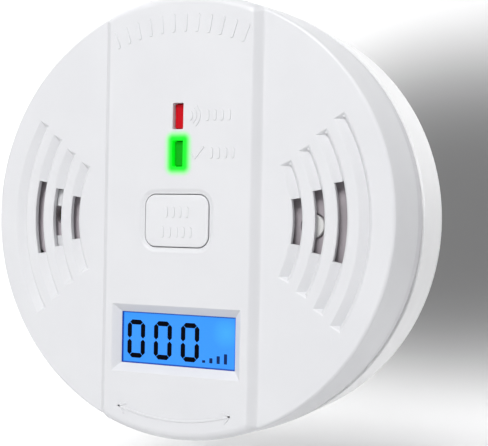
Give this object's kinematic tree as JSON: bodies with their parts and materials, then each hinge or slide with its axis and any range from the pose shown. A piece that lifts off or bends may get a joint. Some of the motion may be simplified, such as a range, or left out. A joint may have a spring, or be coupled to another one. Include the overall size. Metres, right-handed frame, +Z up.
{
  "type": "carbon monoxide alarm",
  "caption": "Round wall-mounted gas alarm with a raised centre band, display window, test button, indicator lights and arc vents, on a twist-lock base.",
  "frame": {"origin": "centre of the mounting base's flat back face, on the wall", "axes": "+Z up, +X to the right seen from the front, the face looks towards -Y and the wall is at +Y"},
  "size_m": [0.1, 0.0371, 0.1],
  "materials": {
    "white_plastic": "moulded white ABS, fine satin",
    "base_plastic": "moulded white ABS, fine even texture",
    "inner_plastic": "plain moulded ABS",
    "display_glass": "flat glass over a blue lit display",
    "light_guide": "clear moulded acrylic",
    "silicone_rubber": "smooth silicone",
    "red_lens": "diffused red epoxy",
    "green_lens": "diffused green epoxy, lit",
    "circuit_board": "green solder mask",
    "black_plastic": "moulded black plastic",
    "grey_plastic": "moulded grey plastic",
    "plunger_plastic": "moulded coloured plastic",
    "piezo_brass": "rolled sheet",
    "filter_membrane": "white porous membrane",
    "capacitor_sleeve": "shrunk plastic sleeve",
    "battery_wrap": "printed film wrap, plain",
    "nickel_strip": "nickel-plated spring steel",
    "steel": "zinc-plated"
  },
  "bodies": {
    "mount": {"mounting_base": "base_plastic"},
    "detector": {"rear_housing": "white_plastic", "front_cover": "white_plastic", "lcd_frame": "inner_plastic", "led_holder": "inner_plastic", "lcd_glass": "display_glass", "lcd_backlight": "light_guide", "lcd_zebra_strip": "silicone_rubber", "alarm_led_red": "red_lens", "operate_led_green": "green_lens", "main_board": "circuit_board", "microcontroller": "black_plastic", "driver_transistor": "black_plastic", "boost_coil": "black_plastic", "switch_body": "black_plastic", "piezo_seat": "black_plastic", "sounder_housing": "grey_plastic", "piezo_disc": "piezo_brass", "co_sensor": "grey_plastic", "co_sensor_filter": "filter_membrane", "clock_crystal": "steel", "supply_capacitor_1": "capacitor_sleeve", "supply_capacitor_2": "capacitor_sleeve", "contact_positive_end": "nickel_strip", "contact_negative_end": "nickel_strip", "contact_bridge_left": "nickel_strip", "contact_bridge_right": "nickel_strip", "battery_1": "battery_wrap", "battery_spring_1": "steel", "battery_2": "battery_wrap", "battery_spring_2": "steel", "battery_3": "battery_wrap", "battery_spring_3": "steel", "housing_screw_1": "steel", "board_screw_1": "steel", "housing_screw_2": "steel", "board_screw_2": "steel", "housing_screw_3": "steel", "board_screw_3": "steel", "housing_screw_4": "steel", "board_screw_4": "steel"},
    "button": {"test_button": "white_plastic"},
    "plunger": {"switch_plunger": "plunger_plastic"}
  },
  "joints": [
    {"name": "twist_lock", "type": "hinge", "parent": "mount", "child": "detector", "pos_m": [0, 0, 0], "axis": [0, -1, 0], "range_deg": [0, 18]},
    {"name": "test_button_press", "type": "slide", "parent": "detector", "child": "button", "axis": [0, 1, 0], "range_m": [0, 0.0008], "stiffness_N_per_m": 800, "springref_m": -0.0005},
    {"name": "switch_plunger_press", "type": "slide", "parent": "detector", "child": "plunger", "axis": [0, 1, 0], "range_m": [0, 0.0006]}
  ],
  "couplings": [
    {"joint": "switch_plunger_press", "follows": "test_button_press", "ratio": 0.625}
  ]
}
